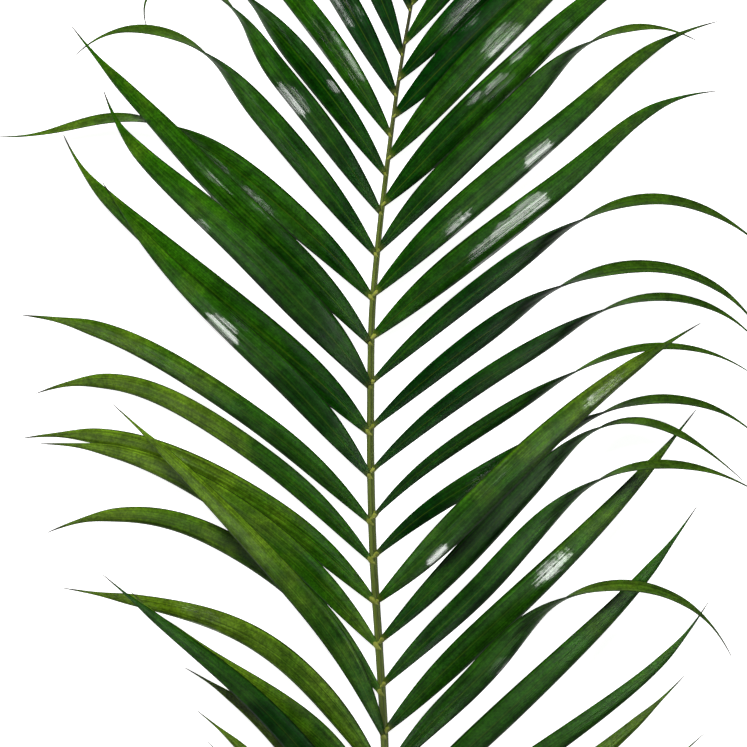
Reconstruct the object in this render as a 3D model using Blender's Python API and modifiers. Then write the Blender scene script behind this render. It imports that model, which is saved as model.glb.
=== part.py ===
"""A cut feather palm leaf, lying face up on a flat surface.

One stem carries two rows of narrow leaflets. The leaf's tip points along +Y, its face looks up along +Z,
and the origin is on the stem's underside, on the flat spot that the leaf rests on.
Sizes are in millimetres and angles in degrees until they reach Blender, which takes metres.
"""
import math
from collections import namedtuple

import bmesh
import bpy
from mathutils import Vector

MM = 0.001

# The stem's run, from the cut end of the stalk to the leaf's tip: across, along, and the stem's width.
# Its underside is flat and lies on the surface, up to where it starts to rise towards the tip.
StemPoint = namedtuple("StemPoint", "across along width")
STEM = [
    StemPoint(-4.0, -640.0, 9.8),
    StemPoint(2.0, -560.0, 7.6),
    StemPoint(7.0, -470.0, 6.6),
    StemPoint(9.0, -370.0, 6.0),
    StemPoint(9.6, -290.0, 5.7),
    StemPoint(9.0, -228.0, 5.5),
    StemPoint(5.2, -162.0, 5.5),
    StemPoint(1.5, -105.0, 5.4),
    StemPoint(-0.2, -47.0, 5.2),
    StemPoint(-0.3, 0.0, 5.0),
    StemPoint(0.6, 56.0, 4.6),
    StemPoint(4.3, 100.0, 4.1),
    StemPoint(10.0, 150.0, 3.5),
    StemPoint(17.2, 206.0, 2.8),
    StemPoint(25.0, 253.0, 2.3),
    StemPoint(35.0, 305.0, 2.0),
    StemPoint(48.5, 362.0, 1.7),
    StemPoint(63.0, 414.0, 1.4),
]
STEM_STEP = 27.0          # distance between the stem's cross-sections
TIP_RISE_FROM = 90.0      # from here to its tip the stem rises off the surface
TIP_RISE = 6.0            # height of the stem's underside at its tip

# The stem's cross-section, as parts of its half width: flat below, a low ridge along the top.
FLAT_WITHIN = 0.03        # corners this near the surface are put exactly on it
WELD = 0.01
STEM_FLAT = 0.5
STEM_DEPTH = 0.85
STEM_SECTION = [
    (-STEM_FLAT, -STEM_DEPTH), (STEM_FLAT, -STEM_DEPTH), (1.0, -0.15), (0.75, 0.60),
    (0.0, 0.95), (-0.75, 0.60), (-1.0, -0.15),
]

# A leaflet leaves the stem at "along". Its headings, evenly spaced from its root to its tip, are measured
# from straight out sideways, up towards the leaf's tip. "full" is how full the blade stays past its widest
# place, "lift" how high its middle arches and "tip" its tip's height. "twist" is where along its length a
# twisted leaflet stands on edge, before its outer part turns over, and 0 for a leaflet that isn't twisted.
Leaflet = namedtuple("Leaflet", "along headings length width full lift twist tip")
LEFT = [
    Leaflet(260, (72, 66, 58, 48), 205, 15, 1.7, 14, 0, 3),
    Leaflet(230, (70, 64, 56, 46), 220, 16, 1.7, 14, 0, 3),
    Leaflet(203, (63, 58, 50, 38), 236, 18, 1.7, 14, 0, 3),
    Leaflet(176, (59, 53, 46, 32), 250, 17, 1.7, 14, 0, 3),
    Leaflet(150, (57, 53, 49, 43, 14, -20), 262, 18, 1.6, 20, 0.57, 3),
    Leaflet(124, (57, 54, 51, 54, 10, -110), 256, 17, 1.9, 27, 0.65, 3),
    Leaflet(96, (54, 51, 49, 43, 7, -44), 272, 18, 1.65, 20, 0.64, 3),
    Leaflet(67, (50, 42, 39, 21, -14, 2), 298, 21, 1.2, 14, 0.61, 3),
    Leaflet(37, (52, 45, 44, 47, 46, 53), 292, 21, 1.7, 34, 0, 4),
    Leaflet(8, (55, 47, 45, 41, 46, 72), 268, 25, 1.8, 37, 0, 18),
    Leaflet(-23, (49, 41, 40, 41, 44, 66), 288, 23, 1.7, 18, 0, 3),
    Leaflet(-52, (53, 48, 43, 44, 50, 56), 267, 20, 1.7, 23, 0, 12),
    Leaflet(-83, (47, 37, 28, 5), 278, 16, 3.8, 16, 0, 3),
    Leaflet(-109, (49, 38, 24, -21), 268, 15, 4.0, 12, 0, 3),
    Leaflet(-136, (47, 34, 20, -8), 270, 19, 2.7, 10, 0, 3),
    Leaflet(-166, (51, 41, 25, 0), 274, 18, 2.3, 13, 0, 3),
    Leaflet(-197, (56, 50, 36, 23, -1, -24), 272, 16, 3.0, 17, 0, 3),
    Leaflet(-226, (70, 51, 46, 42), 291, 17, 1.8, 32, 0, 16),
    Leaflet(-255, (58, 44, 15, 9), 264, 17, 2.0, 13, 0, 3),
    Leaflet(-283, (57, 52, 38, 33, 39, 44), 232, 18, 1.7, 14, 0, 14),
    Leaflet(-311, (58, 50, 39, 40), 273, 17, 1.7, 18, 0, 20),
    Leaflet(-340, (65, 58, 45, 29), 213, 15, 1.8, 6, 0, 3),
    Leaflet(-370, (65, 58, 47, 38), 208, 14, 1.8, 6, 0, 3),
]
RIGHT = [
    Leaflet(264, (52, 48, 42, 30), 205, 15, 1.7, 14, 0, 3),
    Leaflet(238, (53, 48, 42, 28), 220, 16, 1.7, 14, 0, 3),
    Leaflet(214, (48, 44, 40, 24), 236, 19, 1.7, 14, 0, 3),
    Leaflet(189, (46, 44, 40, 24), 250, 21, 1.7, 14, 0, 3),
    Leaflet(161, (49, 46, 42, 28), 262, 20, 1.7, 15, 0, 3),
    Leaflet(130, (47, 44, 41, 20), 272, 22, 1.7, 16, 0, 3),
    Leaflet(99, (51, 45, 44, 43, 16, -28), 273, 19, 1.8, 24, 0.72, 8),
    Leaflet(70, (46, 41, 40, 41, 14), 296, 21, 1.6, 14, 0, 3),
    Leaflet(41, (43, 38, 38, 40, 5), 287, 21, 1.5, 16, 0, 3),
    Leaflet(11, (44, 39, 35, 23, -18, -44), 318, 15, 1.8, 26, 0.55, 3),
    Leaflet(-19, (43, 38, 32, 12, -25, -61), 318, 15, 1.7, 24, 0.49, 3),
    Leaflet(-48, (44, 37, 31, 24, -15, -53), 312, 14, 1.5, 26, 0.60, 3),
    Leaflet(-79, (48, 36, 31, 24, -7, -38), 302, 11, 1.6, 22, 0.55, 3),
    Leaflet(-105, (44, 33, 28, 23, -11, -46), 300, 15, 1.6, 18, 0.60, 3),
    Leaflet(-135, (43, 45, 40, 30), 286, 21, 1.9, 36, 0, 20),
    Leaflet(-162, (45, 46, 47, 35, -22, -43), 314, 18, 1.3, 22, 0.65, 3),
    Leaflet(-191, (47, 43, 48, 31, -5, -32), 316, 18, 1.3, 28, 0.63, 3),
    Leaflet(-222, (47, 43, 46, 52), 300, 20, 1.7, 18, 0, 3),
    Leaflet(-250, (51, 44, 47, 17, -24, -64), 300, 19, 1.2, 28, 0.56, 3),
    Leaflet(-281, (41, 43, 45, 56), 296, 19, 1.7, 16, 0, 3),
    Leaflet(-310, (38, 35, 35, 40, 58), 280, 15, 1.9, 14, 0, 3),
    Leaflet(-340, (37, 35, 38, 46), 254, 17, 1.7, 14, 0, 3),
    Leaflet(-370, (35, 33, 33, 42), 260, 13, 1.7, 14, 0, 3),
]

# Towards the leaf's tip and towards the bare stalk the leaflets follow a rule: they get shorter and narrower
# and stand closer together. The root's heading is given for the left side (-1) and the right side (1).
TIP_FIRST = {-1: 288.0, 1: 290.0}     # place of the first of the tip's leaflets
TIP_HEADING = {-1: 74.0, 1: 50.0}
TIP_GAP = 23.0            # space to the next one
TIP_GAP_SHRINK = 0.93
TIP_COUNT = 6
TIP_LENGTH = 192.0
TIP_LENGTH_SHRINK = 0.885
TIP_WIDTH = 14.0
TIP_WIDTH_SHRINK = 0.93
STALK_FIRST = -394.0      # place of the first of the leaflets next to the stalk
STALK_HEADING = {-1: 61.0, 1: 35.0}
STALK_GAP = 26.0
STALK_GAP_SHRINK = 0.92
STALK_COUNT = 3
STALK_LENGTH = 205.0
STALK_LENGTH_SHRINK = 0.86
STALK_WIDTH = 12.0
STALK_WIDTH_SHRINK = 0.88
END_FALL = (0.0, 3.0, 8.0, 18.0)      # how far the heading of these leaflets falls off towards their tips
END_FULL = 1.7
END_LIFT = 14.0           # arch of these leaflets, and the height of their tips
END_TIP = 3.0

# The blade of every leaflet.
BLADE_THICKNESS = 0.8
# A blade's rows of corners, as parts of its length.
BLADE_PLACES = (0.0, 0.018, 0.09, 0.21, 0.35, 0.47, 0.58, 0.68, 0.78, 0.89, 1.0)
JOIN_HEIGHT = 0.3         # how far above the stem's middle the blades join, per half width of the stem
ROOT_THICKNESS = 0.11     # the swelling where the blade joins the stem, as a part of the blade's width
ROOT_ROWS = 2             # rows that are that thick
ROOT_WIDTH = 0.15         # width at the root and tip, as parts of the greatest width
TIP_END_WIDTH = 0.06
WIDEST_AT = 0.34          # place of the greatest width, as a part of the length
SWELL = 2.2               # how fast the blade widens from its root
TIP_THIN_FROM = 0.82      # from here it draws in to its thin tip, over this part of its length
TIP_THIN_OVER = 0.12
TIP_THIN_BY = 0.5
FOLD = 0.2                # how far the edges lie below the midrib, per half width
SLANT = 18.0              # each blade's edge on the tip side is raised, so neighbours lie like shingles
ROLL = 125.0              # how far the outer part of a twisted blade turns over
ROLL_SPAN = 0.40          # part of its length that it takes to, and the share of that before "twist"
ROLL_BEFORE = 0.53
ARCH_SKEW = 0.85          # under 1, the arch is highest before the middle of the blade
PATH_STEPS = 60


def eased(values, place):
    """Value at a place from 0 to 1 on a smooth curve through evenly spaced values."""
    span = place * (len(values) - 1)
    index = min(int(span), len(values) - 2)
    part = span - index
    before = values[max(index - 1, 0)]
    start = values[index]
    end = values[index + 1]
    after = values[min(index + 2, len(values) - 1)]
    bend = 2 * before - 5 * start + 4 * end - after
    twist = 3 * start - before - 3 * end + after
    return start + 0.5 * part * (end - before + part * (bend + part * twist))


def stem_at(along):
    """The stem's place across and its width, at a distance along it."""
    for low, high in zip(STEM, STEM[1:]):
        if along <= high.along:
            break
    index = STEM.index(low)
    part = (along - low.along) / (high.along - low.along)
    place = (index + part) / (len(STEM) - 1)
    across = eased([point.across for point in STEM], place)
    width = low.width + (high.width - low.width) * part
    return across, width


def stem_height(along):
    """Height of the stem's middle, whose underside is on the surface except towards its tip."""
    width = stem_at(along)[1]
    past = max(along - TIP_RISE_FROM, 0.0) / (STEM[-1].along - TIP_RISE_FROM)
    return 0.5 * width * STEM_DEPTH + TIP_RISE * past * past


def end_leaflet(along, heading, length, width):
    headings = tuple(heading - fall for fall in END_FALL)
    return Leaflet(along, headings, length, width, END_FULL, END_LIFT, 0, END_TIP)


def end_leaflets(side):
    """The leaflets near the tip and near the stalk, which follow a rule, on one side."""
    leaflets = []
    along = TIP_FIRST[side]
    for number in range(TIP_COUNT):
        leaflets.append(end_leaflet(along, TIP_HEADING[side], TIP_LENGTH * TIP_LENGTH_SHRINK ** number,
                                    TIP_WIDTH * TIP_WIDTH_SHRINK ** number))
        along += TIP_GAP * TIP_GAP_SHRINK ** number
    along = STALK_FIRST
    for number in range(STALK_COUNT):
        leaflets.append(end_leaflet(along, STALK_HEADING[side], STALK_LENGTH * STALK_LENGTH_SHRINK ** number,
                                    STALK_WIDTH * STALK_WIDTH_SHRINK ** number))
        along -= STALK_GAP * STALK_GAP_SHRINK ** number
    return leaflets


def smooth(part):
    """A soft step from 0 to 1."""
    part = min(max(part, 0.0), 1.0)
    return part * part * (3 - 2 * part)


def blade_half_width(leaflet, place):
    """Half the blade's width: a narrow root, widest at a third, and a long taper to the tip."""
    if place < WIDEST_AT:
        rise = place / WIDEST_AT
        share = ROOT_WIDTH + (1 - ROOT_WIDTH) * (1 - (1 - rise) ** SWELL)
    else:
        fall = (place - WIDEST_AT) / (1 - WIDEST_AT)
        share = TIP_END_WIDTH + (1 - TIP_END_WIDTH) * (1 - fall ** leaflet.full)
    thin = TIP_THIN_BY * smooth((place - TIP_THIN_FROM) / TIP_THIN_OVER)
    return 0.5 * leaflet.width * share * (1 - thin)


def blade_turn(leaflet, place):
    """How far the blade is turned about its midrib, in degrees."""
    turn = SLANT * smooth(place / WIDEST_AT)
    if leaflet.twist:
        turn += ROLL * smooth((place - leaflet.twist) / ROLL_SPAN + ROLL_BEFORE)
    return turn


def blade_path(leaflet, side):
    """Points along the leaflet's midrib, from the middle of the stem to the tip."""
    across, stem_width = stem_at(leaflet.along)
    root_height = stem_height(leaflet.along) + 0.5 * stem_width * JOIN_HEIGHT
    along = leaflet.along
    step = leaflet.length / PATH_STEPS
    points = []
    for number in range(PATH_STEPS + 1):
        place = number / PATH_STEPS
        arch = leaflet.lift * math.sin(math.pi * place ** ARCH_SKEW)
        height = root_height + (leaflet.tip - root_height) * place + arch
        points.append(Vector((across, along, height)))
        heading = math.radians(eased(leaflet.headings, place))
        across += side * step * math.cos(heading)
        along += step * math.sin(heading)
    return points


def point_on(path, place):
    """Point and direction at a part of the way along a path."""
    span = place * (len(path) - 1)
    index = min(int(span), len(path) - 2)
    direction = (path[index + 1] - path[index]).normalized()
    return path[index].lerp(path[index + 1], span - index), direction


def blade_point(leaflet, side, path, place, edge):
    """A point of the blade: edge is -1 and 1 at its two edges and 0 on its midrib."""
    centre, direction = point_on(path, place)
    level = Vector((0, 0, 1)).cross(direction).normalized()
    upright = direction.cross(level)
    turn = math.radians(blade_turn(leaflet, place)) * side
    out = level * math.cos(turn) + upright * math.sin(turn)
    normal = upright * math.cos(turn) - level * math.sin(turn)
    half = blade_half_width(leaflet, place)
    return centre + out * edge * half - normal * FOLD * abs(edge) * half


def make_blade(name, leaflet, side, collection):
    """A grid, two faces wide, bent along the midrib and given its thickness, more of it at the root."""
    rows = len(BLADE_PLACES) - 1
    mesh = bpy.data.meshes.new(name)
    grid = bmesh.new()
    bmesh.ops.create_grid(grid, x_segments=2, y_segments=rows, size=0.5)
    bmesh.ops.triangulate(grid, faces=grid.faces[:])
    path = blade_path(leaflet, side)
    root_corners = []
    for corner in grid.verts:
        row = round((corner.co.y + 0.5) * rows)
        corner.co = blade_point(leaflet, side, path, BLADE_PLACES[row], 2 * corner.co.x) * MM
        if row < ROOT_ROWS:
            root_corners.append(corner.index)
    grid.to_mesh(mesh)
    grid.free()
    blade = bpy.data.objects.new(name, mesh)
    collection.objects.link(blade)
    root = blade.vertex_groups.new(name="root")
    root.add(root_corners, 1.0, "REPLACE")
    shell = blade.modifiers.new("Thickness", "SOLIDIFY")
    root_thickness = max(ROOT_THICKNESS * leaflet.width, BLADE_THICKNESS)
    shell.thickness = root_thickness * MM
    shell.vertex_group = root.name
    shell.thickness_vertex_group = BLADE_THICKNESS / root_thickness
    shell.offset = 0
    return blade


def make_stem(name, collection):
    """The stem, as a curve that carries the cross-section, made into a mesh."""
    section = bpy.data.curves.new("stem_section", "CURVE")
    section.dimensions = "2D"
    outline = section.splines.new("POLY")
    outline.points.add(len(STEM_SECTION) - 1)
    for point, (across, up) in zip(outline.points, STEM_SECTION):
        point.co = (across * MM, up * MM, 0, 1)
    outline.use_cyclic_u = True
    section_object = bpy.data.objects.new("stem_section", section)
    collection.objects.link(section_object)

    length = STEM[-1].along - STEM[0].along
    count = round(length / STEM_STEP)
    curve = bpy.data.curves.new(name, "CURVE")
    curve.dimensions = "3D"
    curve.twist_mode = "Z_UP"
    curve.bevel_mode = "OBJECT"
    curve.bevel_object = section_object
    curve.use_fill_caps = True
    run = curve.splines.new("POLY")
    run.points.add(count)
    for number, point in enumerate(run.points):
        along = STEM[0].along + length * number / count
        across, width = stem_at(along)
        point.co = (across * MM, along * MM, stem_height(along) * MM, 1)
        point.radius = 0.5 * width
    curve_object = bpy.data.objects.new("stem_curve", curve)
    collection.objects.link(curve_object)

    bpy.context.view_layer.update()
    mesh = bpy.data.meshes.new_from_object(curve_object.evaluated_get(bpy.context.evaluated_depsgraph_get()))
    shape = bmesh.new()
    shape.from_mesh(mesh)
    bmesh.ops.remove_doubles(shape, verts=shape.verts[:], dist=WELD * MM)
    for corner in shape.verts:
        if abs(corner.co.z) < FLAT_WITHIN * MM:
            corner.co.z = 0.0
    bmesh.ops.triangulate(shape, faces=shape.faces[:])
    bmesh.ops.recalc_face_normals(shape, faces=shape.faces[:])
    shape.to_mesh(mesh)
    shape.free()
    mesh.name = name
    stem = bpy.data.objects.new(name, mesh)
    collection.objects.link(stem)
    bpy.data.objects.remove(curve_object)
    bpy.data.objects.remove(section_object)
    return stem


def leaf_material():
    """Deep green with a satin surface."""
    material = bpy.data.materials.new("leaf_green")
    material.use_nodes = True
    shader = material.node_tree.nodes["Principled BSDF"]
    shader.inputs["Base Color"].default_value = (0.035, 0.10, 0.012, 1)
    shader.inputs["Roughness"].default_value = 0.38
    shader.inputs["Metallic"].default_value = 0.0
    return material


def fuse(body, pieces):
    """Join a collection's objects to the body in one union, and remove them."""
    union = body.modifiers.new("Fuse", "BOOLEAN")
    union.operation = "UNION"
    union.operand_type = "COLLECTION"
    union.collection = pieces
    union.solver = "EXACT"
    bpy.context.view_layer.update()
    joined = bpy.data.meshes.new_from_object(body.evaluated_get(bpy.context.evaluated_depsgraph_get()))
    body.modifiers.remove(union)
    body.data = joined
    for piece in list(pieces.objects):
        bpy.data.objects.remove(piece)
    bpy.data.collections.remove(pieces)


def main():
    for item in list(bpy.data.objects):
        bpy.data.objects.remove(item)
    leaf_collection = bpy.data.collections.new("palm_leaf")
    bpy.context.scene.collection.children.link(leaf_collection)
    leaflets = bpy.data.collections.new("leaflets")
    bpy.context.scene.collection.children.link(leaflets)

    leaf = make_stem("palm_leaf", leaf_collection)
    for side, row, side_name in ((-1, LEFT, "left"), (1, RIGHT, "right")):
        for number, leaflet in enumerate(row + end_leaflets(side)):
            make_blade(f"blade_{side_name}_{number}", leaflet, side, leaflets)
    fuse(leaf, leaflets)
    leaf.data.materials.clear()
    leaf.data.materials.append(leaf_material())


main()
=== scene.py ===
"""Looks of a cut feather palm leaf that lies face up on a pale surface.

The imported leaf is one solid. Here its stem, its root swellings and its two rows of leaflets are modelled
finely at the same places, and stand for it. Sizes are in millimetres and angles in degrees until they
reach Blender, which takes metres. Only the lights are placed in metres from the start. The leaf's tip
points along +Y and its face looks up along +Z.
"""
import math
from collections import namedtuple

import bmesh
import bpy
from mathutils import Matrix, Vector


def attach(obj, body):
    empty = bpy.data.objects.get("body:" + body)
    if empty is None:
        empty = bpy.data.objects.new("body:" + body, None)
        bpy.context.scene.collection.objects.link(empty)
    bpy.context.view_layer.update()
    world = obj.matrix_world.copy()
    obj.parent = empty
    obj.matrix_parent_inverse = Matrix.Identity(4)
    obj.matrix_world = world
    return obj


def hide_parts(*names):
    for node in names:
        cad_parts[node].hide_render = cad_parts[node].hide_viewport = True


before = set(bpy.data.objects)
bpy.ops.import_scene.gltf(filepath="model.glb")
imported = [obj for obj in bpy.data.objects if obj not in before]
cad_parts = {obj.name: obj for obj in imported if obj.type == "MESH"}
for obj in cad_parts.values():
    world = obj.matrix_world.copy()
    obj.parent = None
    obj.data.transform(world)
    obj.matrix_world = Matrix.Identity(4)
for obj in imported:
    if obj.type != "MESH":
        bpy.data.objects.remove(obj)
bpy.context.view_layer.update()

MM = 0.001

# The stem's run, from the cut end of the stalk to the leaf's tip: across, along, and the stem's width.
StemPoint = namedtuple("StemPoint", "across along width")
STEM = [
    StemPoint(-4.0, -640.0, 9.8),
    StemPoint(2.0, -560.0, 7.6),
    StemPoint(7.0, -470.0, 6.6),
    StemPoint(9.0, -370.0, 6.0),
    StemPoint(9.6, -290.0, 5.7),
    StemPoint(9.0, -228.0, 5.5),
    StemPoint(5.2, -162.0, 5.5),
    StemPoint(1.5, -105.0, 5.4),
    StemPoint(-0.2, -47.0, 5.2),
    StemPoint(-0.3, 0.0, 5.0),
    StemPoint(0.6, 56.0, 4.6),
    StemPoint(4.3, 100.0, 4.1),
    StemPoint(10.0, 150.0, 3.5),
    StemPoint(17.2, 206.0, 2.8),
    StemPoint(25.0, 253.0, 2.3),
    StemPoint(35.0, 305.0, 2.0),
    StemPoint(48.5, 362.0, 1.7),
    StemPoint(63.0, 414.0, 1.4),
]
STEM_STEP = 6.0           # distance between the stem's cross-sections
TIP_RISE_FROM = 90.0      # from here to its tip the stem rises off the surface
TIP_RISE = 6.0
STEM_DEPTH = 0.85         # height of the stem's middle above its underside, per half width
STEM_WELD = 0.01
STEM_SMOOTH_UP_TO = 50.0  # edges of the stem that bend more than this stay sharp

# Right half of the stem's cross-section, from the middle of the underside up to the ridge on top, as parts
# of its half width. The left half mirrors it. Low ridges run along it with grooves between them.
STEM_SECTION = [
    (0.0, -0.85), (0.28, -0.85), (0.5, -0.83), (0.74, -0.62), (0.90, -0.42), (1.0, -0.15), (0.985, 0.06),
    (0.88, 0.22), (0.87, 0.34), (0.80, 0.50), (0.68, 0.58), (0.58, 0.70), (0.44, 0.72), (0.30, 0.86),
    (0.16, 0.85), (0.07, 0.95), (0.0, 0.96),
]

# A leaflet leaves the stem at "along". Its headings, evenly spaced from its root to its tip, are measured
# from straight out sideways, up towards the leaf's tip. "full" is how full the blade stays past its widest
# place, "lift" how high its middle arches and "tip" its tip's height. "twist" is where along its length a
# twisted leaflet stands on edge, before its outer part turns over, and 0 for a leaflet that isn't twisted.
# "young" is its colour, from 0 for a deep green to 1 for a fresh yellow green.
Leaflet = namedtuple("Leaflet", "along headings length width full lift twist tip young")
LEFT = [
    Leaflet(260, (72, 66, 58, 48), 205, 15, 1.7, 14, 0, 3, 0.10),
    Leaflet(230, (70, 64, 56, 46), 220, 16, 1.7, 14, 0, 3, 0.10),
    Leaflet(203, (63, 58, 50, 38), 236, 18, 1.7, 14, 0, 3, 0.12),
    Leaflet(176, (59, 53, 46, 32), 250, 17, 1.7, 14, 0, 3, 0.40),
    Leaflet(150, (57, 53, 49, 43, 14, -20), 262, 18, 1.6, 20, 0.57, 3, 0.30),
    Leaflet(124, (57, 54, 51, 54, 10, -110), 256, 17, 1.9, 27, 0.65, 3, 0.28),
    Leaflet(96, (54, 51, 49, 43, 7, -44), 272, 18, 1.65, 20, 0.64, 3, 0.32),
    Leaflet(67, (50, 42, 39, 21, -14, 2), 298, 21, 1.2, 14, 0.61, 3, 0.36),
    Leaflet(37, (52, 45, 44, 47, 46, 53), 292, 21, 1.7, 34, 0, 4, 0.30),
    Leaflet(8, (55, 47, 45, 41, 46, 72), 268, 25, 1.8, 37, 0, 18, 0.34),
    Leaflet(-23, (49, 41, 40, 41, 44, 66), 288, 23, 1.7, 18, 0, 3, 0.34),
    Leaflet(-52, (53, 48, 43, 44, 50, 56), 267, 20, 1.7, 23, 0, 12, 0.34),
    Leaflet(-83, (47, 37, 28, 5), 278, 16, 3.8, 16, 0, 3, 0.54),
    Leaflet(-109, (49, 38, 24, -21), 268, 15, 4.0, 12, 0, 3, 0.64),
    Leaflet(-136, (47, 34, 20, -8), 270, 19, 2.7, 10, 0, 3, 0.78),
    Leaflet(-166, (51, 41, 25, 0), 274, 18, 2.3, 13, 0, 3, 0.74),
    Leaflet(-197, (56, 50, 36, 23, -1, -24), 272, 16, 3.0, 17, 0, 3, 0.68),
    Leaflet(-226, (70, 51, 46, 42), 291, 17, 1.8, 32, 0, 16, 0.72),
    Leaflet(-255, (58, 44, 15, 9), 264, 17, 2.0, 13, 0, 3, 0.86),
    Leaflet(-283, (57, 52, 38, 33, 39, 44), 232, 18, 1.7, 14, 0, 14, 0.72),
    Leaflet(-311, (58, 50, 39, 40), 273, 17, 1.7, 18, 0, 20, 0.12),
    # Partly painted light: this leaflet's fresh yellow green is raised to brighten it where the leaflet above
    # it shades it.
    Leaflet(-340, (65, 58, 45, 29), 213, 15, 1.8, 6, 0, 3, 1.0),
    Leaflet(-370, (65, 58, 47, 38), 208, 14, 1.8, 6, 0, 3, 0.85),
]
RIGHT = [
    Leaflet(264, (52, 48, 42, 30), 205, 15, 1.7, 14, 0, 3, 0.20),
    Leaflet(238, (53, 48, 42, 28), 220, 16, 1.7, 14, 0, 3, 0.25),
    Leaflet(214, (48, 44, 40, 24), 236, 19, 1.7, 14, 0, 3, 0.22),
    Leaflet(189, (46, 44, 40, 24), 250, 21, 1.7, 14, 0, 3, 0.18),
    Leaflet(161, (49, 46, 42, 28), 262, 20, 1.7, 15, 0, 3, 0.42),
    Leaflet(130, (47, 44, 41, 20), 272, 22, 1.7, 16, 0, 3, 0.28),
    Leaflet(99, (51, 45, 44, 43, 16, -28), 273, 19, 1.8, 24, 0.72, 8, 0.30),
    Leaflet(70, (46, 41, 40, 41, 14), 296, 21, 1.6, 14, 0, 3, 0.34),
    Leaflet(41, (43, 38, 38, 40, 5), 287, 21, 1.5, 16, 0, 3, 0.36),
    Leaflet(11, (44, 39, 35, 23, -18, -44), 318, 15, 1.8, 26, 0.55, 3, 0.20),
    Leaflet(-19, (43, 38, 32, 12, -25, -61), 318, 15, 1.7, 24, 0.49, 3, 0.12),
    Leaflet(-48, (44, 37, 31, 24, -15, -53), 312, 14, 1.5, 26, 0.60, 3, 0.12),
    Leaflet(-79, (48, 36, 31, 24, -7, -38), 302, 11, 1.6, 22, 0.55, 3, 0.18),
    Leaflet(-105, (44, 33, 28, 23, -11, -46), 300, 15, 1.6, 18, 0.60, 3, 0.15),
    Leaflet(-135, (43, 45, 40, 30), 286, 21, 1.9, 36, 0, 20, 0.58),
    Leaflet(-162, (45, 46, 47, 35, -22, -43), 314, 18, 1.3, 22, 0.65, 3, 0.28),
    Leaflet(-191, (47, 43, 48, 31, -5, -32), 316, 18, 1.3, 28, 0.63, 3, 0.32),
    Leaflet(-222, (47, 43, 46, 52), 300, 20, 1.7, 18, 0, 3, 0.42),
    Leaflet(-250, (51, 44, 47, 17, -24, -64), 300, 19, 1.2, 28, 0.56, 3, 0.42),
    Leaflet(-281, (41, 43, 45, 56), 296, 19, 1.7, 16, 0, 3, 0.36),
    Leaflet(-310, (38, 35, 35, 40, 58), 280, 15, 1.9, 14, 0, 3, 0.36),
    Leaflet(-340, (37, 35, 38, 46), 254, 17, 1.7, 14, 0, 3, 0.60),
    Leaflet(-370, (35, 33, 33, 42), 260, 13, 1.7, 14, 0, 3, 0.50),
]

# Towards the leaf's tip and towards the bare stalk the leaflets follow a rule: they get shorter and narrower
# and stand closer together. The root's heading is given for the left side (-1) and the right side (1).
TIP_FIRST = {-1: 288.0, 1: 290.0}
TIP_HEADING = {-1: 74.0, 1: 50.0}
TIP_GAP = 23.0
TIP_GAP_SHRINK = 0.93
TIP_COUNT = 6
TIP_LENGTH = 192.0
TIP_LENGTH_SHRINK = 0.885
TIP_WIDTH = 14.0
TIP_WIDTH_SHRINK = 0.93
TIP_YOUNG = 0.3
STALK_FIRST = -394.0
STALK_HEADING = {-1: 61.0, 1: 35.0}
STALK_GAP = 26.0
STALK_GAP_SHRINK = 0.92
STALK_COUNT = 3
STALK_LENGTH = 205.0
STALK_LENGTH_SHRINK = 0.86
STALK_WIDTH = 12.0
STALK_WIDTH_SHRINK = 0.88
STALK_YOUNG = 0.55
END_FALL = (0.0, 3.0, 8.0, 18.0)      # how far their headings fall from root to tip
END_FULL = 1.7
END_LIFT = 14.0
END_TIP = 3.0

# The blade of every leaflet. Heights across it are parts of its half width at that place.
BLADE_ROWS = 64
BLADE_COLUMNS = 10
BLADE_THICKNESS = 0.36
JOIN_HEIGHT = 0.3         # height of its root above the stem's middle, in half widths of the stem
ROOT_WIDTH = 0.15         # its width at the root and at the end of the tip, as parts of the full width
TIP_END_WIDTH = 0.03
WIDEST_AT = 0.34
SWELL = 2.2               # how full the blade is between its root and its widest place
TIP_THIN_FROM = 0.82      # from here it draws in to its thin tip, over this part of its length
TIP_THIN_OVER = 0.12
TIP_THIN_BY = 0.5
FOLD = 0.2                # how far its edges hang below its midrib
BULGE = 0.07              # how far each half of the blade bulges between the midrib and its edge
RIB_GROOVE = 0.03
SLANT = 18.0              # how far the blade leans about its midrib from its widest place on
ROLL = 125.0              # how far the outer part of a twisted blade turns over
ROLL_SPAN = 0.40          # part of its length that it takes to, and the share of that before "twist"
ROLL_BEFORE = 0.53
ARCH_SKEW = 0.85          # below 1, the arch is highest nearer to the root
PATH_STEPS = 72
RIPPLE = 1.3              # height of the blade's slow ripples, and their size
RIPPLE_SIZE = 34.0
RIPPLE_FROM = 0.06        # where along the blade they have half their height
RIPPLE_DELAY = 0.5
SAME_EDGE = 0.01          # corners this near a column's place belong to it

# The smoother, shinier patches of the leaflets: across, along, half their length, and their strength. They
# are longer than wide, along the leaflets. Those of the right side come first.
GLOSS_SPOTS = [
    (98, 233, 12, 1.0), (86, 207, 17, 1.0), (60, 256, 21, 1.0), (68, 201, 8, 0.9), (112, 163, 15, 1.0),
    (105, 126, 20, 1.0), (90, 111, 19, 1.0), (74, 97, 16, 0.8), (44, -103, 11, 1.0), (57, 117, 18, 0.6),
    (126, 240, 22, 0.6), (88, 240, 24, 0.6), (156, 8, 24, 0.55), (76, -50, 24, 0.6), (121, -111, 22, 0.55),
    (85, -177, 10, 0.9),
    (-52, 200, 17, 1.0), (-25, 209, 8, 0.8), (-112, 115, 9, 0.8), (-99, 47, 16, 1.0), (-87, 53, 13, 0.8),
    (-103, 140, 24, 0.55), (-105, 153, 26, 0.55), (-74, 133, 24, 0.55), (-34, 240, 30, 0.6),
    (-17, 225, 26, 0.6), (-20, 262, 24, 0.6), (-129, -30, 24, 0.5), (-114, -144, 26, 0.6),
]
GLOSS_HEADING = 43.0      # measured as a leaflet's heading
GLOSS_SLENDER = 2.0       # how many times longer than wide a patch is
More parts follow.
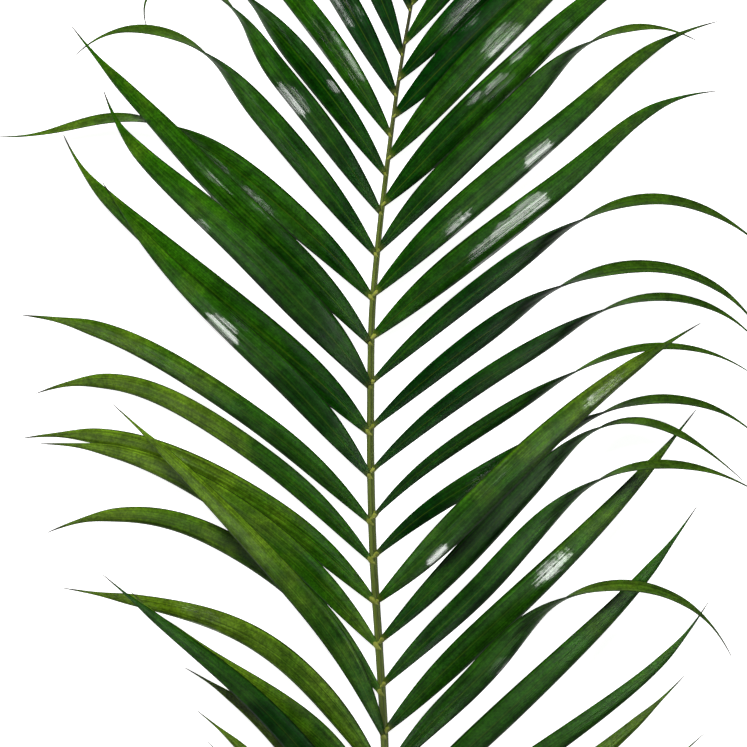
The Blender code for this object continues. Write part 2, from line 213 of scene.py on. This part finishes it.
GLOSS_FADED = 1.3         # a patch has faded out at this many times its half length

# The swelling at each leaflet's root. Its sizes are in widths of the stem at that place.
SWELLING_LENGTH = 1.9
SWELLING_WIDTH = 0.74
SWELLING_HEIGHT = 0.78
SWELLING_REACH = 0.46     # from the stem's middle to its own
SWELLING_SEGMENTS = 14    # how many faces it has round it and from end to end
SWELLING_RINGS = 10

# Colours, as linear red, green, blue and opacity.
Greens = namedtuple("Greens", "deep middle fresh")
TOP_GREENS = Greens((0.0004, 0.025, 0.0002, 1), (0.015, 0.076, 0.0012, 1), (0.088, 0.170, 0.006, 1))
UNDER_GREENS = Greens((0.008, 0.035, 0.001, 1), (0.027, 0.071, 0.003, 1), (0.062, 0.110, 0.005, 1))
EDGE_GREEN = (0.006, 0.012, 0.003, 1)
TIP_BROWN = (0.022, 0.016, 0.010, 1)
ROOT_OLIVE = (0.14, 0.17, 0.02, 1)
STALK_OLIVE = (0.082, 0.118, 0.012, 1)
STEM_OLIVE = (0.100, 0.135, 0.022, 1)
STEM_BROWN = (0.062, 0.060, 0.028, 1)
LINE_GREEN = (0.018, 0.030, 0.004, 1)
RIM_GREEN = (0.016, 0.026, 0.004, 1)
PITH_PALE = (0.30, 0.26, 0.12, 1)
PITH_DARK = (0.10, 0.08, 0.035, 1)
SWELLING_YELLOW = (0.30, 0.33, 0.055, 1)
SWELLING_OLIVE = (0.16, 0.19, 0.022, 1)
TABLE_GREY = (0.84, 0.84, 0.84, 1)
TABLE_PALE = (0.87, 0.87, 0.86, 1)
WHITE = (1, 1, 1, 1)

# Noise patterns: scale, detail and roughness. A scale of 100 makes cells of about a centimetre. A stretched
# pattern has a scale of 1, and its stretch says how much finer it is along each of its three values.
MOTTLE = (22.0, 4.0, 0.6)
STREAKS = (1.0, 4.0, 0.65)
STREAK_STRETCH = (2.5, 15.0, 37.0)
VEINS = (1.0, 2.0, 0.5)
VEIN_STRETCH = (1.5, 42.0, 19.0)
SPECKLE = (650.0, 2.0, 0.6)
CLOUDS = (110.0, 3.0, 0.6)
GRAIN = (240.0, 3.0, 0.6)
FIBRES = (1.0, 4.0, 0.6)
FIBRE_STRETCH = (6.0, 22.0, 300.0)
BLOTCHES = (60.0, 3.0, 0.5)
PORES = (1500.0, 2.0, 0.5)
SWELLING_PATCHES = (180.0, 3.0, 0.6)
SWELLING_GRAIN = (900.0, 2.0, 0.5)
TABLE_CLOUDS = (3.0, 3.0, 0.5)

# How a look follows a value: two limits of the value, and what the look is at the one and at the other.
# Places along and across a blade are parts of its length and of its half width.
RIPER_OUTWARD = (0.15, 0.85, -0.12, 0.26)
RIPER_IN_SPOTS = (0.3, 0.7, -0.14, 0.14)
DEEP_TO_MIDDLE = (0.0, 0.5, 0.0, 1.0)
MIDDLE_TO_FRESH = (0.5, 1.0, 0.0, 1.0)
STREAK_SHADE = (0.28, 0.72, 0.55, 1.45)
VEIN_SHADE = (0.3, 0.7, 0.72, 1.3)
SPECKLE_SHADE = (0.3, 0.7, 0.72, 1.32)
CLOUD_SHADE = (0.32, 0.68, 0.72, 1.28)
# The paler midrib line is partly the midrib's own paler green and partly a painted highlight on its ridge.
PALE_RIB_HIGHLIGHT_ACROSS = (0.0, 0.07, 1.0, 0.0)
PALE_RIB_HIGHLIGHT_ALONG = (0.1, 0.7, 0.4, 0.1)
EDGE_ACROSS = (0.89, 0.98, 0.0, 0.85)
TIP_ALONG = (0.94, 0.99, 0.0, 1.0)
ROOT_ALONG = (0.010, 0.030, 0.5, 0.0)
STREAK_SATIN = (0.2, 0.8, -0.07, 0.07)
TOP_SATIN = (0.25, 0.75, 0.30, 0.46)
UNDER_SATIN = (0.25, 0.75, 0.42, 0.58)
POLISH = (1.2, 1.5, 0.0, 1.0)
STEM_LIGHTER = (-0.45, 0.15, 0.0, 1.0)      # along the leaf, in metres
STEM_BROWNER = (0.12, 0.27, 0.0, 1.0)       # along the leaf, in metres
FIBRE_SHADE = (0.3, 0.7, 0.7, 1.3)
BLOTCH_SHADE = (0.3, 0.7, 0.85, 1.15)
LINE_ACROSS = (0.05, 0.3, 0.6, 0.0)
RIM_ACROSS = (0.62, 0.95, 0.0, 0.75)
PORE_BLEND = (0.4, 0.6, 0.0, 1.0)
FIBRE_SATIN = (0.2, 0.8, 0.38, 0.58)
PATCH_BLEND = (0.35, 0.65, 0.0, 1.0)
SWELLING_SATIN = (0.3, 0.7, 0.42, 0.6)
TABLE_BLEND = (0.3, 0.7, 0.0, 1.0)

LINE_AT = 0.25            # the stem's dark line, in half widths of the stem from its middle
CUT_SKIN = 0.2            # the cut end's pith is plain to this depth, and has faded out at the next one
CUT_DEPTH = 1.2
GRAIN_SHARE = 0.7         # how much the fine grain breaks up the polished patches
STREAK_RELIEF = 0.7       # shares of the streaks and of the veins in the blade's relief
VEIN_RELIEF = 0.3
BLADE_RELIEF = (0.35, 0.6)      # how strong a relief is, and how deep
STEM_RELIEF = (0.4, 0.4)
SWELLING_RELIEF = (0.3, 0.3)
LEAF_SPECULAR = 0.07
STEM_SPECULAR = 0.12
POLISH_ROUGHNESS = 0.2
POLISH_IOR = 1.6
TABLE_ROUGHNESS = 0.9
TABLE_GLOW = 0.96
TABLE_SIDE = 24000.0

# The lights: a window high up beyond the leaf's tip, and panels that show only in the leaf's gloss. Their
# places and sides are in metres and their power is in watts.
Panel = namedtuple("Panel", "name location target side power")
WINDOW = Panel("window", (-0.5, 1.5, 1.6), (0, 0.1, 0), 1.0, 70.0)
SHEENS = [
    Panel("sheen_right", (0.48, -0.30, 0.5), (0.1, 0.15, 0), 0.3, 5.0),
    Panel("sheen_left", (-0.56, -0.33, 0.5), (-0.1, 0.15, 0), 0.26, 4.0),
    Panel("sheen_low", (0.12, -0.95, 0.5), (0.05, -0.1, 0), 0.35, 6.0),
    Panel("sheen_top", (0.64, -0.25, 3.0), (0.1, 0.2, 0), 0.9, 24.0),
]
WORLD_STRENGTH = 0.03

# What the camera sees: a square of the surface, straight from above through a long lens.
VIEW_CENTRE = (1.667, 17.667)
VIEW_SIDE = 498.0
VIEW_LEVEL = 12.0         # height at which the square is exactly that wide
CAMERA_HEIGHT = 6000.0
SENSOR = 36.0
SEEN_AS_FAR_AS = 100000.0


def eased(values, place):
    """Value at a place from 0 to 1 on a smooth curve through evenly spaced values."""
    span = place * (len(values) - 1)
    index = min(int(span), len(values) - 2)
    part = span - index
    before = values[max(index - 1, 0)]
    start = values[index]
    end = values[index + 1]
    after = values[min(index + 2, len(values) - 1)]
    bend = 2 * before - 5 * start + 4 * end - after
    twist = 3 * start - before - 3 * end + after
    return start + 0.5 * part * (end - before + part * (bend + part * twist))


def smooth(part):
    """A soft step from 0 to 1."""
    part = min(max(part, 0.0), 1.0)
    return part * part * (3 - 2 * part)


def stem_at(along):
    """The stem's place across and its width, at a distance along it."""
    for low, high in zip(STEM, STEM[1:]):
        if along <= high.along:
            break
    index = STEM.index(low)
    part = (along - low.along) / (high.along - low.along)
    place = (index + part) / (len(STEM) - 1)
    across = eased([point.across for point in STEM], place)
    width = low.width + (high.width - low.width) * part
    return across, width


def stem_height(along):
    """Height of the stem's middle, whose underside is on the surface except towards its tip."""
    width = stem_at(along)[1]
    past = max(along - TIP_RISE_FROM, 0.0) / (STEM[-1].along - TIP_RISE_FROM)
    return 0.5 * width * STEM_DEPTH + TIP_RISE * past * past


def end_leaflet(along, heading, length, width, young):
    """A leaflet that follows the rule for the leaf's two ends."""
    headings = tuple(heading - fall for fall in END_FALL)
    return Leaflet(along, headings, length, width, END_FULL, END_LIFT, 0, END_TIP, young)


def end_leaflets(side):
    """The leaflets near the tip and near the stalk, which follow a rule, on one side."""
    leaflets = []
    along = TIP_FIRST[side]
    for number in range(TIP_COUNT):
        leaflets.append(end_leaflet(along, TIP_HEADING[side], TIP_LENGTH * TIP_LENGTH_SHRINK ** number,
                                    TIP_WIDTH * TIP_WIDTH_SHRINK ** number, TIP_YOUNG))
        along += TIP_GAP * TIP_GAP_SHRINK ** number
    along = STALK_FIRST
    for number in range(STALK_COUNT):
        leaflets.append(end_leaflet(along, STALK_HEADING[side], STALK_LENGTH * STALK_LENGTH_SHRINK ** number,
                                    STALK_WIDTH * STALK_WIDTH_SHRINK ** number, STALK_YOUNG))
        along -= STALK_GAP * STALK_GAP_SHRINK ** number
    return leaflets


def blade_half_width(leaflet, place):
    """Half the blade's width: a narrow root, widest at a third, and a long taper to the tip."""
    if place < WIDEST_AT:
        rise = place / WIDEST_AT
        share = ROOT_WIDTH + (1 - ROOT_WIDTH) * (1 - (1 - rise) ** SWELL)
    else:
        fall = (place - WIDEST_AT) / (1 - WIDEST_AT)
        share = TIP_END_WIDTH + (1 - TIP_END_WIDTH) * (1 - fall ** leaflet.full)
    thin = TIP_THIN_BY * smooth((place - TIP_THIN_FROM) / TIP_THIN_OVER)
    return 0.5 * leaflet.width * share * (1 - thin)


def blade_turn(leaflet, place):
    """How far the blade is turned about its midrib, in degrees."""
    turn = SLANT * smooth(place / WIDEST_AT)
    if leaflet.twist:
        turn += ROLL * smooth((place - leaflet.twist) / ROLL_SPAN + ROLL_BEFORE)
    return turn


def blade_path(leaflet, side):
    """Points along the leaflet's midrib, from the middle of the stem to the tip."""
    across, stem_width = stem_at(leaflet.along)
    root_height = stem_height(leaflet.along) + 0.5 * stem_width * JOIN_HEIGHT
    along = leaflet.along
    step = leaflet.length / PATH_STEPS
    points = []
    for number in range(PATH_STEPS + 1):
        place = number / PATH_STEPS
        arch = leaflet.lift * math.sin(math.pi * place ** ARCH_SKEW)
        height = root_height + (leaflet.tip - root_height) * place + arch
        points.append(Vector((across, along, height)))
        heading = math.radians(eased(leaflet.headings, place))
        across += side * step * math.cos(heading)
        along += step * math.sin(heading)
    return points


def deselect_all():
    if bpy.context.object and bpy.context.object.mode != "OBJECT":
        bpy.ops.object.mode_set(mode="OBJECT")
    bpy.ops.object.select_all(action="DESELECT")


def choose(item):
    """Select only this object and make it the active one."""
    deselect_all()
    item.select_set(True)
    bpy.context.view_layer.objects.active = item


def apply_modifiers(item):
    choose(item)
    for modifier in list(item.modifiers):
        bpy.ops.object.modifier_apply(modifier=modifier.name)


def join(items, name):
    """Join the objects into one, with this name."""
    deselect_all()
    for item in items:
        item.select_set(True)
    bpy.context.view_layer.objects.active = items[0]
    bpy.ops.object.join()
    joined = bpy.context.object
    joined.name = name
    joined.data.name = name
    return joined


def model_blade():
    """One blade, flat and straight: a strip along X, its edges at Y -1 and 1, folded down from the midrib."""
    deselect_all()
    bpy.ops.mesh.primitive_grid_add(x_subdivisions=BLADE_ROWS, y_subdivisions=BLADE_COLUMNS, size=2)
    blade = bpy.context.object
    blade.name = "blade"
    bpy.ops.object.mode_set(mode="EDIT")
    shape = bmesh.from_edit_mesh(blade.data)
    for column in range(BLADE_COLUMNS + 1):
        edge = 2 * column / BLADE_COLUMNS - 1
        out = abs(edge)
        height = BULGE * 4 * out * (1 - out) - FOLD * out
        if out == 0:
            height -= RIB_GROOVE
        bpy.ops.mesh.select_all(action="DESELECT")
        for corner in shape.verts:
            corner.select = abs(corner.co.y - edge) < SAME_EDGE
        shape.select_flush_mode()
        bmesh.update_edit_mesh(blade.data)
        bpy.ops.transform.translate(value=(0, 0, height))
        shape = bmesh.from_edit_mesh(blade.data)
    bpy.ops.object.mode_set(mode="OBJECT")
    bpy.ops.object.shade_smooth()
    free = blade.vertex_groups.new(name="free")
    for corner in blade.data.vertices:
        place = (corner.co.x + 1) / 2
        free.add([corner.index], smooth(place / RIPPLE_FROM - RIPPLE_DELAY), "REPLACE")
    return blade


def midrib_curve(leaflet, side):
    """A curve along the midrib. Its radius is half the blade's width and its tilt the blade's turn."""
    points = blade_path(leaflet, side)
    curve = bpy.data.curves.new("midrib", "CURVE")
    curve.dimensions = "3D"
    curve.twist_mode = "Z_UP"
    curve.use_stretch = True
    curve.use_deform_bounds = True
    curve.use_radius = True
    run = curve.splines.new("POLY")
    run.points.add(len(points) - 1)
    for number, (knot, point) in enumerate(zip(run.points, points)):
        place = number / PATH_STEPS
        knot.co = (*(point * MM), 1)
        knot.radius = blade_half_width(leaflet, place) * MM
        knot.tilt = math.radians(blade_turn(leaflet, place)) * side
    item = bpy.data.objects.new("midrib", curve)
    bpy.context.scene.collection.objects.link(item)
    return item


def lay_blade(blade, leaflet, side, ripples):
    """A copy of the blade, laid along the leaflet's midrib and given its thickness."""
    copy = blade.copy()
    copy.data = blade.data.copy()
    bpy.context.scene.collection.objects.link(copy)
    midrib = midrib_curve(leaflet, side)
    lay = copy.modifiers.new("Lay", "CURVE")
    lay.object = midrib
    lay.deform_axis = "POS_X"
    ripple = copy.modifiers.new("Ripple", "DISPLACE")
    ripple.texture = ripples
    ripple.texture_coords = "GLOBAL"
    ripple.direction = "Z"
    ripple.strength = RIPPLE * MM
    ripple.vertex_group = "free"
    wall = copy.modifiers.new("Wall", "SOLIDIFY")
    wall.thickness = BLADE_THICKNESS * MM
    wall.offset = 0
    wall.material_offset = 1
    apply_modifiers(copy)
    bpy.data.objects.remove(midrib)
    young = copy.data.attributes.new("young", "FLOAT", "POINT")
    for value in young.data:
        value.value = leaflet.young
    return copy


def model_leaflets(name, side, row, blade, ripples):
    """One side's leaflets, joined, with how polished they are at every corner of their mesh."""
    leaflets = join([lay_blade(blade, leaflet, side, ripples) for leaflet in row + end_leaflets(side)], name)
    cosine = math.cos(math.radians(GLOSS_HEADING))
    sine = math.sin(math.radians(GLOSS_HEADING))
    gloss = leaflets.data.attributes.new("gloss", "FLOAT", "POINT")
    for corner, value in zip(leaflets.data.vertices, gloss.data):
        for across, along, reach, strength in GLOSS_SPOTS:
            right = side * (corner.co.x / MM - across)
            ahead = corner.co.y / MM - along
            lengthwise = right * cosine + ahead * sine
            sideways = (ahead * cosine - right * sine) * GLOSS_SLENDER
            away = math.hypot(lengthwise, sideways)
            value.value = max(value.value, strength * smooth(GLOSS_FADED - away / reach))
    return leaflets


def model_stem():
    """The stem: a curve that carries the ridged cross-section, made a mesh."""
    section = bpy.data.curves.new("stem_section", "CURVE")
    section.dimensions = "2D"
    outline = section.splines.new("POLY")
    corners = STEM_SECTION + [(-across, up) for across, up in reversed(STEM_SECTION[1:-1])]
    outline.points.add(len(corners) - 1)
    for point, (across, up) in zip(outline.points, corners):
        point.co = (across * MM, up * MM, 0, 1)
    outline.use_cyclic_u = True
    section_object = bpy.data.objects.new("stem_section", section)
    bpy.context.scene.collection.objects.link(section_object)

    curve = bpy.data.curves.new("stem", "CURVE")
    curve.dimensions = "3D"
    curve.twist_mode = "Z_UP"
    curve.bevel_mode = "OBJECT"
    curve.bevel_object = section_object
    curve.use_fill_caps = True
    run = curve.splines.new("POLY")
    length = STEM[-1].along - STEM[0].along
    count = round(length / STEM_STEP)
    run.points.add(count)
    for number, point in enumerate(run.points):
        along = STEM[0].along + length * number / count
        across, width = stem_at(along)
        point.co = (across * MM, along * MM, stem_height(along) * MM, 1)
        point.radius = 0.5 * width
    stem = bpy.data.objects.new("stem", curve)
    bpy.context.scene.collection.objects.link(stem)
    choose(stem)
    bpy.ops.object.convert(target="MESH")
    stem = bpy.context.object
    bpy.ops.object.mode_set(mode="EDIT")
    bpy.ops.mesh.select_all(action="SELECT")
    bpy.ops.mesh.remove_doubles(threshold=STEM_WELD * MM)
    bpy.ops.mesh.normals_make_consistent(inside=False)
    bpy.ops.object.mode_set(mode="OBJECT")
    bpy.ops.object.shade_smooth_by_angle(angle=math.radians(STEM_SMOOTH_UP_TO))
    bpy.data.objects.remove(section_object)

    across_stem = stem.data.attributes.new("across", "FLOAT", "POINT")
    for corner, value in zip(stem.data.vertices, across_stem.data):
        along = min(max(corner.co.y / MM, STEM[0].along), STEM[-1].along)
        centre, width = stem_at(along)
        value.value = (corner.co.x / MM - centre) / (0.5 * width)
    return stem


def model_swellings():
    """One small swelling, modelled once and copied to the root of every leaflet."""
    deselect_all()
    bpy.ops.mesh.primitive_uv_sphere_add(segments=SWELLING_SEGMENTS, ring_count=SWELLING_RINGS, radius=0.5)
    first = bpy.context.object
    bpy.ops.object.mode_set(mode="EDIT")
    bpy.ops.mesh.select_all(action="SELECT")
    bpy.ops.transform.resize(value=(SWELLING_LENGTH, SWELLING_WIDTH, SWELLING_HEIGHT))
    bpy.ops.object.mode_set(mode="OBJECT")
    bpy.ops.object.shade_smooth()
    copies = []
    for side, row in ((-1, LEFT), (1, RIGHT)):
        for leaflet in row + end_leaflets(side):
            across, width = stem_at(leaflet.along)
            heading = math.radians(leaflet.headings[0])
            forward = Vector((side * math.cos(heading), math.sin(heading), 0.0))
            height = stem_height(leaflet.along) + 0.5 * width * JOIN_HEIGHT
            centre = Vector((across, leaflet.along, height)) + forward * width * SWELLING_REACH
            turn = Matrix.Rotation(math.atan2(forward.y, forward.x), 4, "Z")
            place = Matrix.Translation(centre * MM) @ turn @ Matrix.Scale(width * MM, 4)
            copy = first.copy()
            copy.data = first.data.copy()
            copy.data.transform(place)
            bpy.context.scene.collection.objects.link(copy)
            copies.append(copy)
    bpy.data.objects.remove(first)
    return join(copies, "swellings")


class Finish:
    """A material's nodes, added and joined by short calls."""

    def __init__(self, name):
        self.material = bpy.data.materials.new(name)
        self.material.use_nodes = True
        self.nodes = self.material.node_tree.nodes
        self.links = self.material.node_tree.links
        self.shader = self.nodes["Principled BSDF"]

    def join(self, value, socket):
        """Give a socket a value, or join another node's output to it."""
        if isinstance(value, bpy.types.NodeSocket):
            self.links.new(value, socket)
        elif value is not None:
            socket.default_value = value

    def math(self, operation, first, second=None, clamp=False):
        node = self.nodes.new("ShaderNodeMath")
        node.operation = operation
        node.use_clamp = clamp
        self.join(first, node.inputs[0])
        self.join(second, node.inputs[1])
        return node.outputs[0]

    def add(self, first, second, clamp=False):
        return self.math("ADD", first, second, clamp)

    def times(self, value, factor):
        return self.math("MULTIPLY", value, factor)

    def away_from(self, value, middle):
        """How far a value is from another, to either side."""
        return self.math("ABSOLUTE", self.math("SUBTRACT", value, middle))

    def spread(self, value, low, high, to_low, to_high):
        """Map a value's range to another, with a soft step between."""
        node = self.nodes.new("ShaderNodeMapRange")
        node.interpolation_type = "SMOOTHSTEP"
        self.join(value, node.inputs["Value"])
        for socket, number in zip(("From Min", "From Max", "To Min", "To Max"), (low, high, to_low, to_high)):
            node.inputs[socket].default_value = number
        return node.outputs[0]

    def blend(self, part, first, second, how="MIX"):
        node = self.nodes.new("ShaderNodeMix")
        node.data_type = "RGBA"
        node.blend_type = how
        self.join(part, node.inputs[0])
        self.join(first, node.inputs[6])
        self.join(second, node.inputs[7])
        return node.outputs[2]

    def shade(self, colour, value, limits):
        """Darken and lighten a colour as a value goes through its limits."""
        return self.blend(1.0, colour, self.spread(value, *limits), "MULTIPLY")

    def vector(self, x, y, z):
        node = self.nodes.new("ShaderNodeCombineXYZ")
        for value, socket in zip((x, y, z), node.inputs):
            self.join(value, socket)
        return node.outputs[0]

    def stretched(self, values, stretch):
        """A vector of three values, each multiplied by its own number."""
        return self.vector(*(self.times(value, number) for value, number in zip(values, stretch)))

    def noise(self, vector, scale, detail, roughness):
        node = self.nodes.new("ShaderNodeTexNoise")
        self.join(vector, node.inputs["Vector"])
        node.inputs["Scale"].default_value = scale
        node.inputs["Detail"].default_value = detail
        node.inputs["Roughness"].default_value = roughness
        return node.outputs["Fac"]

    def attribute(self, name):
        node = self.nodes.new("ShaderNodeAttribute")
        node.attribute_name = name
        return node.outputs["Fac"]

    def coordinates(self, name):
        node = self.nodes.get("Texture Coordinate") or self.nodes.new("ShaderNodeTexCoord")
        return node.outputs[name]

    def parts(self, vector):
        node = self.nodes.new("ShaderNodeSeparateXYZ")
        self.join(vector, node.inputs[0])
        return node.outputs[:]

    def relief(self, height, strength, depth):
        """Raise the surface and its polish by a value, without changing the mesh."""
        node = self.nodes.new("ShaderNodeBump")
        self.join(height, node.inputs["Height"])
        node.inputs["Strength"].default_value = strength
        node.inputs["Distance"].default_value = depth * MM
        self.join(node.outputs["Normal"], self.shader.inputs["Normal"])
        self.join(node.outputs["Normal"], self.shader.inputs["Coat Normal"])

    def set(self, **values):
        for name, value in values.items():
            self.join(value, self.shader.inputs[name.replace("_", " ")])


def blade_finish(name, greens, mottled_satin):
    """Leaf green with lengthwise veins, a dark edge and a dry brown tip. The UV map runs along and across."""
    finish = Finish(name)
    along, across, _ = finish.parts(finish.coordinates("UV"))
    off = finish.away_from(finish.times(across, 2.0), 1.0)
    young = finish.attribute("young")
    spot = finish.coordinates("Object")
    mottle = finish.noise(spot, *MOTTLE)
    streaks = finish.noise(finish.stretched((along, across, young), STREAK_STRETCH), *STREAKS)
    veins = finish.noise(finish.stretched((along, across, young), VEIN_STRETCH), *VEINS)

    riper_outward = finish.add(young, finish.spread(along, *RIPER_OUTWARD))
    ripeness = finish.add(riper_outward, finish.spread(mottle, *RIPER_IN_SPOTS), clamp=True)
    green = finish.blend(finish.spread(ripeness, *DEEP_TO_MIDDLE), greens.deep, greens.middle)
    green = finish.blend(finish.spread(ripeness, *MIDDLE_TO_FRESH), green, greens.fresh)
    green = finish.shade(green, streaks, STREAK_SHADE)
    green = finish.shade(green, veins, VEIN_SHADE)
    green = finish.shade(green, finish.noise(spot, *SPECKLE), SPECKLE_SHADE)
    green = finish.shade(green, finish.noise(spot, *CLOUDS), CLOUD_SHADE)
    # A paler line along the midrib, strongest near the root: partly the midrib's own paler green, partly a
    # painted highlight on its ridge.
    pale_rib_highlight = finish.times(finish.spread(off, *PALE_RIB_HIGHLIGHT_ACROSS), finish.spread(along, *PALE_RIB_HIGHLIGHT_ALONG))
    green = finish.blend(pale_rib_highlight, green, greens.fresh)
    green = finish.blend(finish.spread(off, *EDGE_ACROSS), green, EDGE_GREEN)
    green = finish.blend(finish.spread(along, *TIP_ALONG), green, TIP_BROWN)
    green = finish.blend(finish.spread(along, *ROOT_ALONG), green, ROOT_OLIVE)

    satin = finish.add(finish.spread(streaks, *STREAK_SATIN), finish.spread(mottle, *mottled_satin))
    grain = finish.times(finish.noise(spot, *GRAIN), GRAIN_SHARE)
    polish = finish.add(finish.add(finish.attribute("gloss"), streaks), grain)
    finish.set(Base_Color=green, Roughness=satin, Specular_IOR_Level=LEAF_SPECULAR,
               Coat_Weight=finish.spread(polish, *POLISH), Coat_Roughness=POLISH_ROUGHNESS,
               Coat_IOR=POLISH_IOR)
    height = finish.add(finish.times(streaks, STREAK_RELIEF), finish.times(veins, VEIN_RELIEF))
    finish.relief(height, *BLADE_RELIEF)
    return finish.material


def stem_finish():
    """Olive green, with fine lengthwise ridges and a darker line along the top, browner towards the tip."""
    finish = Finish("stem_olive")
    spot = finish.coordinates("Object")
    x, y, z = finish.parts(spot)
    across = finish.attribute("across")
    fibres = finish.noise(finish.stretched((across, y, z), FIBRE_STRETCH), *FIBRES)

    colour = finish.blend(finish.spread(y, *STEM_LIGHTER), STALK_OLIVE, STEM_OLIVE)
    colour = finish.blend(finish.spread(y, *STEM_BROWNER), colour, STEM_BROWN)
    colour = finish.shade(colour, fibres, FIBRE_SHADE)
    colour = finish.shade(colour, finish.noise(spot, *BLOTCHES), BLOTCH_SHADE)
    line = finish.spread(finish.away_from(across, LINE_AT), *LINE_ACROSS)
    colour = finish.blend(line, colour, LINE_GREEN)
    rim = finish.spread(finish.math("ABSOLUTE", across), *RIM_ACROSS)
    colour = finish.blend(rim, colour, RIM_GREEN)
    end = STEM[0].along * MM
    cut = finish.spread(y, end + CUT_SKIN * MM, end + CUT_DEPTH * MM, 1.0, 0.0)
    pores = finish.noise(finish.vector(x, 0.0, z), *PORES)
    pith = finish.blend(finish.spread(pores, *PORE_BLEND), PITH_PALE, PITH_DARK)
    colour = finish.blend(cut, colour, pith)

    finish.set(Base_Color=colour, Roughness=finish.spread(fibres, *FIBRE_SATIN),
               Specular_IOR_Level=STEM_SPECULAR)
    finish.relief(fibres, *STEM_RELIEF)
    return finish.material


def swelling_finish():
    """Yellow olive, a little darker and browner in patches."""
    finish = Finish("swelling_yellow_olive")
    spot = finish.coordinates("Object")
    patches = finish.spread(finish.noise(spot, *SWELLING_PATCHES), *PATCH_BLEND)
    grain = finish.noise(spot, *SWELLING_GRAIN)
    finish.set(Base_Color=finish.blend(patches, SWELLING_YELLOW, SWELLING_OLIVE),
               Roughness=finish.spread(grain, *SWELLING_SATIN), Specular_IOR_Level=STEM_SPECULAR)
    finish.relief(grain, *SWELLING_RELIEF)
    return finish.material


def floor_finish():
    """A pale matt surface that glows, like a photographer's lit table."""
    finish = Finish("pale_table")
    cloudy = finish.noise(finish.coordinates("Object"), *TABLE_CLOUDS)
    colour = finish.blend(finish.spread(cloudy, *TABLE_BLEND), TABLE_GREY, TABLE_PALE)
    finish.set(Base_Color=colour, Roughness=TABLE_ROUGHNESS, Specular_IOR_Level=0.0,
               Emission_Color=WHITE, Emission_Strength=TABLE_GLOW)
    return finish.material


def add_panel(panel):
    """A soft square light that faces its target."""
    deselect_all()
    bpy.ops.object.light_add(type="AREA", location=panel.location)
    light = bpy.context.object
    light.name = panel.name
    light.data.size = panel.side
    light.data.energy = panel.power
    facing = Vector(panel.target) - Vector(panel.location)
    light.rotation_euler = facing.to_track_quat("-Z", "Y").to_euler()
    return light


def add_camera():
    centre = [value * MM for value in VIEW_CENTRE]
    bpy.ops.object.camera_add(location=(*centre, CAMERA_HEIGHT * MM), rotation=(0, 0, 0))
    camera = bpy.context.object
    camera.data.sensor_width = SENSOR
    camera.data.lens = SENSOR * (CAMERA_HEIGHT - VIEW_LEVEL) / VIEW_SIDE
    camera.data.clip_end = SEEN_AS_FAR_AS * MM
    bpy.context.scene.camera = camera


def add_stage():
    deselect_all()
    bpy.ops.mesh.primitive_plane_add(size=TABLE_SIDE * MM, location=(0, 0, 0))
    floor = bpy.context.object
    floor.name = "table_top"
    floor.data.materials.append(floor_finish())

    add_camera()
    window = add_panel(WINDOW)
    window.visible_glossy = False
    for panel in SHEENS:
        sheen = add_panel(panel)
        sheen.visible_diffuse = False

    world = bpy.data.worlds.new("studio")
    bpy.context.scene.world = world
    world.use_nodes = True
    background = world.node_tree.nodes["Background"]
    background.inputs["Color"].default_value = WHITE
    background.inputs["Strength"].default_value = WORLD_STRENGTH
    bpy.context.scene.view_settings.view_transform = "Standard"
    bpy.context.scene.view_settings.look = "None"


ripples = bpy.data.textures.new("ripples", "CLOUDS")
ripples.noise_scale = RIPPLE_SIZE * MM
blade = model_blade()
blade.data.materials.append(blade_finish("leaf_green", TOP_GREENS, TOP_SATIN))
blade.data.materials.append(blade_finish("leaf_underside", UNDER_GREENS, UNDER_SATIN))
left = model_leaflets("left_leaflets", -1, LEFT, blade, ripples)
right = model_leaflets("right_leaflets", 1, RIGHT, blade, ripples)
bpy.data.objects.remove(blade)
stem = model_stem()
stem.data.materials.append(stem_finish())
swellings = model_swellings()
swellings.data.materials.append(swelling_finish())

for piece in (stem, swellings, left, right):
    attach(piece, "root")
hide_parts("palm_leaf")

add_stage()
